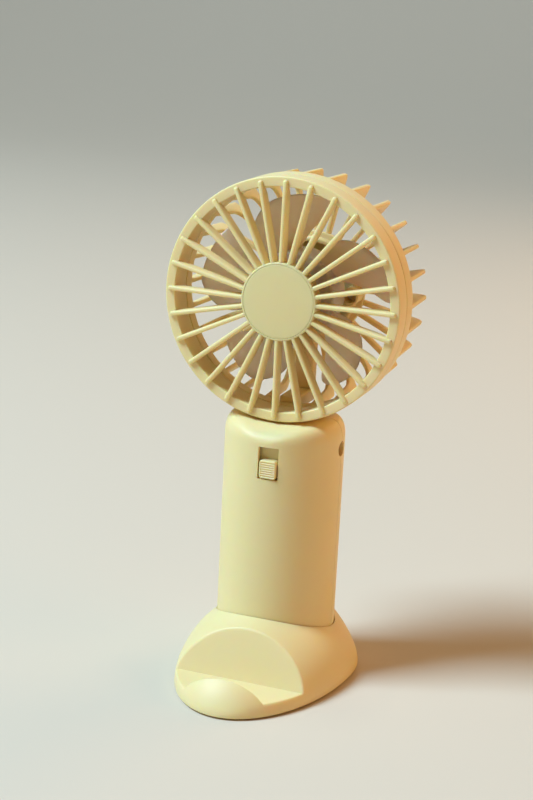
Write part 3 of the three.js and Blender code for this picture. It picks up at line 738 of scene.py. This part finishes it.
@dataclass
class RearCage:
    """The band behind the seam, the bent fins, the pod with its screw bosses, the duct and the neck."""

    centre: Array
    radius: float = 42.0
    bore: float = 38.6
    seam: float = -3.8
    step: float = 40.3
    lap: float = 2.1
    band_end: float = 3.0
    rear: float = 23.9
    fins: int = 28
    fin_half_width: float = 0.85
    fin_front: float = 1.5
    fin_root: float = 19.2
    floor: float = 19.6
    floor_radius: float = 19.5
    pod: float = 17.4
    boss_circle: float = 16.2

    def fin(self) -> Surface:
        """One fin: straight back along the side, round a corner and in to the pod's floor."""
        bend = np.radians(np.linspace(0, 90, 9))
        share = np.linspace(0, 1, 6)[:-1, None]

        def edge(start: list[float], centre: tuple[float, float], radius: float, end: list[float]) -> Array:
            """One edge: from start to the round corner about centre, and on to end."""
            turn = np.stack([centre[0] + radius * np.cos(bend), centre[1] + radius * np.sin(bend)], axis=1)
            side = np.array([start]) * (1 - share) + turn[:1] * share
            run = turn[-1:] * (1 - share) + np.array([end]) * share
            return np.vstack([side, turn, run[1:], [end]])

        outer = edge([41.7, self.fin_front], (39.7, 22.5), 1.4, [self.fin_root, self.rear])
        inner = edge([38.7, self.fin_front], (32.6, 16.0), 4.6, [self.fin_root, 20.6])
        return plate(outer, inner, np.full(len(outer), self.fin_half_width), 20, 4.5)

    def bosses(self) -> Surface:
        """Three round bosses with a sunk hole each, on a circle round the motor."""
        turns = -math.radians(4) + np.arange(3) * 2 * math.pi / 3
        profile = softened([[1.2, 20.2], [1.2, 18.6], [2.2, 18.6], [2.2, 13.6], [3.1, 13.6], [3.1, 20.2]],
                           [0.1, 0.15, 0.2, 0.3, 0.3, 0.1], 4)
        places = self.centre + self.boss_circle * np.stack([np.cos(turns), np.sin(turns)], axis=1)
        made = [turned_on_y(profile, place, 40) for place in places]
        return made[0] + made[1] + made[2]

    def build(self, dresser: Dresser) -> None:
        """Makes the pieces."""
        seam, end, lap = self.seam, self.band_end, self.seam + self.lap
        band = softened([
            [self.step, seam], [self.radius, seam], [self.radius, end],
            [self.bore, end], [self.bore, lap], [self.step, lap],
        ], [0.1, 0.55, 0.6, 0.4, 0.2, 0.1], 6)
        dresser.fit(turned_on_y(band, self.centre, 192).mesh("cage_band"), "body", Body.HANDLE, "rear_cage")
        fins = self.fin().moved(self.centre[0], 0, self.centre[1]).repeated(self.fins, self.centre)
        dresser.fit(fins.mesh("cage_fins"), "body", Body.HANDLE, "rear_cage")
        pod = softened([
            [4.2, 2.6], [4.2, self.floor], [16.0, self.floor], [16.0, 17.0], [self.pod, 17.0],
            [self.pod, self.floor], [self.floor_radius, self.floor], [self.floor_radius, self.floor + 1.8],
            [2.9, self.floor + 1.8], [2.9, 2.6],
        ], [0.2, 0.6, 0.4, 0.3, 0.5, 0.5, 0.4, 0.2, 0.1, 0.2], 5)
        pod_piece = turned_on_y(pod, self.centre, 128) + self.bosses()
        dresser.fit(pod_piece.mesh("motor_pod"), "body", Body.HANDLE, "rear_cage")
        low_duct = block((-3.5, 2.0, 93.2), (3.5, 20.7, 98.0), 0.6)
        duct = low_duct + block((-3.5, 15.9, 93.4), (3.5, 20.6, 118.0), 0.9)
        dresser.fit(duct.mesh("lead_duct"), "body", Body.HANDLE, "rear_cage")
        flange = block((-9.5, -5, 88.4), (9.5, 9.8, 89.7), 0.3)
        neck = block((-8, -3.5, 88.4), (8, 8.3, 93.6), 0.6) + flange
        dresser.fit(neck.mesh("head_neck"), "body", Body.HANDLE, "rear_cage")
        edge = self.floor_radius - 0.5
        cap = turned_on_y(softened(rod(edge, 21.7, self.rear), [0, 0.2, 0.9, 0], 7, False), self.centre, 128, False)
        dresser.fit(cap.mesh("pod_cap"), "body", Body.HANDLE, "rear_cap")


@dataclass
class Impeller:
    """The hub and its five swept blades."""

    centre: Array
    hub: float = 15.2
    bore: float = 14.0
    front: float = -1.5
    rear: float = 11.5
    blades: int = 5
    root: float = 14.6
    tip: float = 34.5
    thickness: float = 1.2
    middle: float = 3.9

    def blade(self) -> Surface:
        """One blade, over u from root to tip and v from the rear, leading edge to the front, trailing one.

        angle = lead + (trail - lead) v, lead = 20 - 26 u + 5 u^8 and trail = 58 - 25 u^3 degrees;
        radius = root + (tip - root) u (1 - 0.07 v^4 u - 0.08 (1 - v)^14 u);
        y = middle + (3.9 + 1.8 u) (1 - 2 v), and half the thickness to each side, times |sin s|^0.4 with
        v = (1 - cos s) / 2, which rounds both edges.
        """
        end = 0.97 + 0.03 * np.sin(np.radians(np.linspace(0, 90, 6)))
        u = np.concatenate([[0, 0.02], np.linspace(0.06, 0.97, 20), end[1:]])[:, None]
        s = np.linspace(0, 2 * np.pi, 48, endpoint=False)[None]
        v = (1 - np.cos(s)) / 2
        angle = np.radians(20 - 26 * u + 5 * u ** 8 + (38 + 26 * u - 25 * u ** 3 - 5 * u ** 8) * v)
        radius = self.root + (self.tip - self.root) * u * (1 - 0.07 * v ** 4 * u - 0.08 * (1 - v) ** 14 * u)
        swell = np.clip((u - 0.97) / 0.03, 0, 1)
        taper = np.sqrt(np.clip(1 - swell ** 2, 0, 1)) * np.clip(u / 0.02, 0, 1)
        side = np.sign(np.sin(s)) * np.abs(np.sin(s)) ** 0.4
        y = self.middle + (3.9 + 1.8 * u) * (1 - 2 * v) + side * taper * self.thickness / 2
        points = np.stack([
            self.centre[0] + radius * np.cos(angle), y, self.centre[1] + radius * np.sin(angle)], axis=-1)
        return Surface.grid(points).outward()

    def build(self, dresser: Dresser) -> None:
        """Makes the impeller in one piece, as it is moulded."""
        hub = softened([
            [0, self.front], [self.hub, self.front], [self.hub, self.rear], [self.bore, self.rear],
            [self.bore, 0.5], [2.6, 0.5], [2.6, 2.1], [1.05, 2.1], [1.05, -0.65], [0, -0.65],
        ], [0, 1.3, 0.3, 0.2, 0.3, 0.2, 0.2, 0.1, 0.1, 0], 7, closed=False)
        whole = turned_on_y(hub, self.centre, 128, False) + self.blade().repeated(self.blades, self.centre)
        dresser.fit(whole.mesh("impeller_moulding"), "blade", Body.ROTOR, "impeller")


@dataclass
class Handle:
    """The round handle in two half shells, domed at the top where it cradles the head."""

    radius: float = 21.0
    wall: float = 2.0
    bottom: float = 8.0
    shoulder: float = 86.0
    dome: float = 16.6
    half_gap: float = 0.1
    cradle: float = 42.3
    cradle_half: float = 12.3
    fillet: float = 6.1
    blend: float = 2.0
    head_height: float = HEAD_HEIGHT
    window_middle: float = 1.7
    window_half: float = 3.6
    window_bottom: float = 74.0
    window_top: float = 85.4
    lanyard_height: float = 82.7
    lanyard_radius: float = 2.75

    def cradle_height(self, x: Array, y: Array, grow: float) -> Array:
        """Where the head's hollow ends, z = head - sqrt(rho^2 - x^2), with rho flared in front and behind."""
        span = self.radius - self.cradle_half
        past = np.clip((np.abs(y) - self.cradle_half) / span, 0, 1)
        rho = self.cradle + grow + self.fillet * (1 - np.sqrt(1 - past ** 2))
        return self.head_height - np.sqrt(rho ** 2 - x ** 2)

    def form(self, inset: float, corner: float, sides: int = 160) -> Surface:
        """The handle's outer form moved in by inset.

        The side is a cylinder. The top is z = shoulder + together(rise sin t, cradle - shoulder), at
        radius r cos t.

        Args:
            inset: how far in.
            corner: the radius of the bottom edge.
            sides: steps round.

        Returns:
            The closed surface.
        """
        radius, rise, bottom = self.radius - inset, self.dome - inset, self.bottom + inset
        side = softened([[0, bottom], [radius, bottom], [radius, self.shoulder - 1]], [0, corner, 0], 8, False)
        upright = np.linspace(20, self.shoulder - 1, 24)
        side = np.vstack([side[:-1], np.stack([np.full(24, radius), upright], axis=1)])
        t = np.radians(np.concatenate([np.linspace(0, 80, 60), np.linspace(80, 90, 12)[1:]]))[:, None]
        angle = np.linspace(0, 2 * np.pi, sides, endpoint=False)[None]
        reach = radius * np.cos(t)
        x, y = reach * np.cos(angle), reach * np.sin(angle)
        domed = np.broadcast_to(rise * np.sin(t), x.shape)
        hollow = (self.cradle_height(x, y, inset) - self.shoulder).clip(0)
        z = self.shoulder + together(domed, hollow, self.blend)
        top = np.stack([x, y, z], axis=-1)
        wall = np.stack(np.broadcast_arrays(
            side[:, :1] * np.cos(angle), side[:, :1] * np.sin(angle), side[:, 1:]), axis=-1)
        return Surface.grid(np.concatenate([wall, top])).outward()

    def openings(self) -> list[Surface]:
        """The hollow inside, the switch's window and pocket, the lanyard hole, the socket and the neck."""
        lanyard = turned_on_y(rod(self.lanyard_radius, -30, 30), np.zeros(2), 64, False)
        lanyard.points = lanyard.points[:, [1, 0, 2]] * [1, -1, 1] + [0, 0, self.lanyard_height]
        middle = self.window_middle
        window = block((middle - self.window_half, -30, self.window_bottom),
                       (middle + self.window_half, -15, self.window_top), 0.4)
        pocket = block((middle - 4.3, -18.4, 69.8), (middle + 4.3, -16, 89.4), 0.2)
        port = block((-4.5, 15, 34.1), (4.5, 30, 37.9), 1.6)
        neck_room = block((-9.8, -5.3, 80), (9.8, 10.1, 100), 0.2)
        return [self.form(self.wall, 0.4), window, pocket, lanyard, port, neck_room]

    def build(self, dresser: Dresser) -> None:
        """Makes both shells."""
        room = 60.0
        halves = {
            "front": block((-room, -room, -20), (room, -self.half_gap, 200), 0.01, 2),
            "rear": block((-room, self.half_gap, -20), (room, room, 200), 0.01, 2),
        }
        for side, half in halves.items():
            shell = cut(self.form(0, 1.2).mesh(f"handle_{side}"), self.openings())
            dresser.fit(cut(shell, [half], keep_inside=True), "body", Body.HANDLE, f"handle_{side}_shell")


@dataclass
class SwitchKnob:
    """The sliding button with its finger ridges, on the plate that slides behind the window."""

    middle: float = 1.7
    half_width: float = 3.0
    bottom: float = 74.4
    top: float = 80.8
    face: float = -21.3
    back: float = -18.0
    ridges: int = 7
    ridge_depth: float = 0.28
    round_edge: float = 0.45
    round_corner: float = 0.9

    def button(self) -> Surface:
        """The button over a grid of x and z.

        It stands depth = (dx^2 + dz^2)^(1/2) back from its face, where dx and dz grow from 0 as each edge is
        rounded, and its corners are round in front view. Its ridges are a cosine along z.
        """
        bend = np.radians(np.linspace(0, 90, 7))
        half_height = (self.top - self.bottom) / 2
        depth = self.back - self.face

        def across(half: float, steps: int) -> tuple[Array, Array]:
            """Positions over one width and how far each has dropped back."""
            inner = half - self.round_edge
            flat = np.linspace(-inner, inner, steps)
            edge = inner + self.round_edge * np.sin(bend)[1:]
            drop = self.round_edge * (1 - np.cos(bend))[1:]
            place = np.concatenate([[-half], -edge[::-1], flat, edge, [half]])
            fall = np.concatenate([[depth], drop[::-1], np.zeros(steps), drop, [depth]])
            return place, fall

        x, dx = across(self.half_width, 15)
        z, dz = across(half_height, 85)
        past = np.clip(np.abs(z) - (half_height - self.round_corner), 0, self.round_corner)
        narrow = 1 - (self.round_corner - np.sqrt(self.round_corner ** 2 - past ** 2)) / self.half_width
        grid_x = x[None] * narrow[:, None]
        grid_z = np.broadcast_to(z[:, None], grid_x.shape)
        y = self.face + np.minimum(np.hypot(dx[None], dz[:, None]), depth)
        span = 2 * (half_height - self.round_edge)
        wave = 0.5 - 0.5 * np.cos(2 * np.pi * self.ridges * (grid_z / span + 0.5))
        inside = (np.abs(grid_z) < span / 2) & (np.abs(grid_x) < self.half_width - self.round_edge)
        y = y + np.where(inside, self.ridge_depth * wave, 0)
        height = (self.top + self.bottom) / 2
        front = np.stack([grid_x + self.middle, y, grid_z + height], axis=-1)
        rear = np.stack([grid_x + self.middle, np.full_like(y, self.back), grid_z + height], axis=-1)
        sheets = [Surface.grid(sheet, close_columns=False) for sheet in (front, rear[::-1])]
        return (sheets[0] + sheets[1]).welded().outward()

    def build(self, dresser: Dresser) -> None:
        """Makes the knob."""
        middle = self.middle
        hidden = block((middle - 4, -18.1, 70.1), (middle + 4, -17.1, 85.6), 0.2)
        stem = block((middle - 0.9, -17.2, 76.2), (middle + 0.9, -14.6, 78.4), 0.2)
        dresser.fit((self.button() + hidden + stem).mesh("slide_button"), "body", Body.SWITCH, "switch_knob")


@dataclass
class Base:
    """The domed base with its socket for the handle and the slot for a phone across it."""

    half_width: float = 30.2
    front: float = 56.0
    rear: float = 33.6
    height: float = 26.8
    arch: float = 1.2
    arch_gain: float = 0.4
    wall: float = 2.4
    edge: float = 2.4
    rim: float = 0.6
    edge_round: float = 1.5
    socket: float = 21.3
    socket_floor: float = 7.7
    slot_floor: float = 5.0
    slot_front: float = -48.2
    slot_rear: float = -33.8
    back_lean: float = 20.0
    lip_lean: float = 4.0
    rim_turn: float = 0.7
    foot_middle: float = -8.0
    screws: tuple[tuple[float, float], ...] = ((-14.0, -25.5), (14.0, -25.5), (0.0, 27.4))

    def slot_height(self, y: Array, grow: float) -> Array:
        """How high material stands under the slot at y: its floor, leaning back and the lip's inner side."""
        back = self.slot_floor + (y - self.slot_rear - grow) / math.tan(math.radians(self.back_lean))
        lip = self.slot_floor + (self.slot_front - grow - y) / math.tan(math.radians(self.lip_lean))
        floor = np.full_like(y, self.slot_floor)
        walls = -smooth_least(-floor, -back, 0.2)
        return -smooth_least(-walls, -lip, 0.6) - grow

    def lines(self, inset: float) -> tuple[Array, Array]:
        """Where the grid's lines run: y from front to rear, close together in the slot's corners, and t."""
        length = np.array([self.front, self.rear]) - inset
        sweep = np.radians(np.linspace(0, 90, 61))
        y = np.concatenate([
            -length[0] * np.cos(sweep), length[1] * np.sin(sweep)[1:],
            np.arange(-49.6, -47.2, 0.12), np.arange(-35.0, -24.6, 0.3),
        ])
        y = np.unique(np.round(np.clip(y, -length[0], length[1]), 3))
        edge = 90 - 12 * np.linspace(0, 1, 14) ** 2
        t = np.radians(np.unique(np.round(np.concatenate([-edge, np.linspace(-78, 78, 97), edge]), 4)))
        return y, t

    def heights(self, y: Array, t: Array, inset: float) -> tuple[Array, Array]:
        """The dome over the grid: x = w sin t and z = foot + sqrt(F^2 + 2 r F), with F = H k(y) cos^q t.

        k(y) is 1 - 0.8 a^2 - 0.2 a^14 before the handle's axis, with a = y / front, and
        sqrt(1 - (y / rear)^2.4) behind it. w is half_width sqrt(1 - (y / length)^2). q grows from front
        to rear. r rounds the bottom edge. smooth_least then takes the slot out.

        Args:
            y: the lines across.
            t: the lines along, as angles.
            inset: how far in from the outer form.

        Returns:
            x and z over the grid.
        """
        along = np.where(y < 0, -y / (self.front - inset), y / (self.rear - inset)).clip(0, 1)
        crown = np.where(y < 0, 1 - 0.8 * along ** 2 - 0.2 * along ** 14, np.sqrt(1 - along ** 2.4)).clip(0)
        share = (self.height - inset) * (1 - self.edge / self.height)
        back = np.clip((y + 10) / 20, 0, 1)
        arch = self.arch + self.arch_gain * back ** 2 * (3 - 2 * back)
        rise = share * crown[:, None] * np.cos(t).clip(0) ** arch[:, None]
        x = (self.half_width - inset) * np.sqrt(1 - along ** 2)[:, None] * np.sin(t)
        z = self.edge - self.edge_round + np.sqrt(rise ** 2 + 2 * self.edge_round * rise)
        slot = self.slot_height(y, inset)[:, None]
        return x, smooth_least(z, np.broadcast_to(slot, z.shape), 0.9)

    def form(self, inset: float, foot: float) -> Surface:
        """The dome, closed below: a rounded rim in from the outline, and a flat underside.

        Args:
            inset: how far in from the outer form.
            foot: the underside's height.

        Returns:
            The closed surface.
        """
        y, t = self.lines(inset)
        x, z = self.heights(y, t, inset)
        top = np.stack([x, np.broadcast_to(y[:, None], x.shape), z], axis=-1)
        loop = np.concatenate([top[:, -1], top[-2:0:-1, 0]])
        ahead = np.roll(loop, -1, axis=0) - np.roll(loop, 1, axis=0)
        outward = np.stack([ahead[:, 1], -ahead[:, 0]], axis=1)
        outward /= np.linalg.norm(outward, axis=1, keepdims=True)
        bend = np.radians(np.linspace(0, 90, 6))[1:]
        drop = loop[:, 2] - foot
        rings = [loop[None]]
        for turn in bend:
            ring = loop.copy()
            ring[:, :2] -= outward * self.rim_turn * (1 - math.cos(turn))
            ring[:, 2] -= drop * math.sin(turn)
            rings.append(ring[None])
        rim = np.concatenate([*rings, np.broadcast_to([0.0, self.foot_middle, foot], (1, len(loop), 3))])
        return (Surface.grid(top, close_columns=False) + Surface.grid(rim)).welded()

    def build(self, dresser: Dresser) -> None:
        """Makes the shell: the dome less its hollow and the handle's socket."""
        cup = turned_on_z(rod(23.5, 5.5, 45), 96)
        posts = [turned_on_z(rod(2.6, 2.7, 45), 32, place) for place in self.screws]
        hollow = cut(self.form(self.wall, -1.0).outward().mesh("hollow"), [cup, *posts])
        socket = softened(rod(self.socket, self.socket_floor, 45), [0, 0.8, 0, 0], 5, False)
        pilots = [turned_on_z(rod(1.05, -1, 9), 24, place) for place in self.screws]
        dome = self.form(0, self.rim).outward().mesh("base_dome")
        shell = cut(cut(dome, [turned_on_z(socket, 192), *pilots]), [hollow])
        dresser.fit(shell, "body", Body.BASE, "base_shell")


# ---------------------------------------------------------------- studio


def bearing(azimuth: float, elevation: float) -> Vector:
    """The way from the fan to an azimuth a and elevation e, in degrees: (sin a cos e, -cos a cos e, sin e)."""
    turn, rise = math.radians(azimuth), math.radians(elevation)
    return Vector((math.sin(turn) * math.cos(rise), -math.cos(turn) * math.cos(rise), math.sin(rise)))


@dataclass(frozen=True)
class SoftBox:
    """A square lamp that faces the fan."""

    name: str
    azimuth: float
    elevation: float
    distance: float
    size: float
    power: float
    colour: Colour

    def build(self, aim: Vector) -> None:
        """Hangs the lamp, pointing at aim.

        Args:
            aim: the point it faces, in metres.
        """
        back = bearing(self.azimuth, self.elevation)
        data = bpy.data.lights.new(self.name, "AREA")
        data.energy, data.color, data.size = self.power, self.colour, self.size
        lamp = bpy.data.objects.new(self.name, data)
        lamp.location = aim + back * self.distance
        lamp.rotation_euler = back.to_track_quat("Z", "Y").to_euler()
        bpy.context.scene.collection.objects.link(lamp)


@dataclass
class Studio:
    """The camera, the floor, the lamps and the air's light."""

    azimuth: float = 20.12
    elevation: float = 14.79
    roll: float = 2.89
    distance: float = 627.3
    target: tuple[float, float, float] = (-6.64, -2.43, 96.8)
    lens: float = 81.2
    floor: Colour = (0.70, 0.60, 0.48)
    air: Colour = (1.0, 0.68, 0.36)
    air_strength: float = 0.12
    aim: tuple[float, float, float] = (0.0, 0.0, 0.09)
    lamps: tuple[SoftBox, ...] = (
        SoftBox("key", -55.0, 51.0, 2.60, 0.90, 106.0, (0.56, 0.80, 1.0)),
        SoftBox("warm_side", 92.0, 8.0, 1.10, 0.70, 3.6, (1.0, 0.42, 0.07)),
        SoftBox("warm_back", 150.0, 25.0, 1.10, 0.60, 3.4, (1.0, 0.60, 0.25)),
        SoftBox("warm_front", 12.0, 5.0, 1.10, 0.60, 0.3, (1.0, 0.52, 0.15)),
        SoftBox("overhead", 176.0, 81.0, 1.60, 0.22, 1.8, (1.0, 0.92, 0.75)),
    )

    def camera(self) -> None:
        """Sets the camera: looking at the target from the azimuth and elevation, then rolled."""
        turn, roll = math.radians(self.azimuth), math.radians(self.roll)
        back = bearing(self.azimuth, self.elevation)
        right = Vector((math.cos(turn), math.sin(turn), 0.0))
        up = back.cross(right)
        across = right * math.cos(roll) + up * math.sin(roll)
        above = up * math.cos(roll) - right * math.sin(roll)
        data = bpy.data.cameras.new("camera")
        data.lens, data.sensor_fit, data.sensor_height = self.lens, "VERTICAL", 36.0
        data.clip_start, data.clip_end = 0.01, 50.0
        camera = bpy.data.objects.new("camera", data)
        place = (Vector(self.target) + back * self.distance) * MILLIMETRE
        camera.matrix_world = Matrix.Translation(place) @ Matrix((across, above, back)).transposed().to_4x4()
        bpy.context.scene.collection.objects.link(camera)
        bpy.context.scene.camera = camera

    def backdrop(self) -> None:
        """Lays the floor, which curves up into a wall far behind."""
        nodes = Nodes("studio_floor")
        cloud = nodes.noise(180.0, 2.0)
        material = nodes.finish(
            Base_Color=nodes.mix(cloud * 0.25, self.floor, tuple(0.96 * part for part in self.floor)),
            Roughness=0.75 + cloud * 0.05, Normal=nodes.bump(nodes.noise(0.8), 0.02))
        corners = np.array([[-4000.0, 0.0], [2500.0, 0.0], [2500.0, 3500.0]])
        line = softened(corners, [0, 1200, 0], 24, closed=False)
        x = np.linspace(-4000, 4000, 9)
        points = np.stack(np.broadcast_arrays(x[None], line[:, :1], line[:, 1:]), axis=-1)
        floor = Surface.grid(points, close_columns=False).mesh("floor")
        floor.data.materials.append(material)

    def build(self) -> None:
        """Makes the studio."""
        self.camera()
        self.backdrop()
        for lamp in self.lamps:
            lamp.build(Vector(self.aim))
        world = bpy.data.worlds.new("air")
        world.use_nodes = True
        shade = world.node_tree.nodes["Background"]
        shade.inputs[0].default_value = (*self.air, 1.0)
        shade.inputs[1].default_value = self.air_strength
        bpy.context.scene.world = world
        bpy.context.scene.view_settings.view_transform = "Standard"


def main() -> None:
    """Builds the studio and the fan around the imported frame."""
    logging.basicConfig(level=logging.INFO, format="%(message)s")
    centre = np.array([0.0, HEAD_HEIGHT])
    Studio().build()
    dresser = Dresser()
    for assembly in (FrontGrille(centre), RearCage(centre), Impeller(centre), Handle(), SwitchKnob(), Base()):
        assembly.build(dresser)


if __name__ == "__main__":
    main()
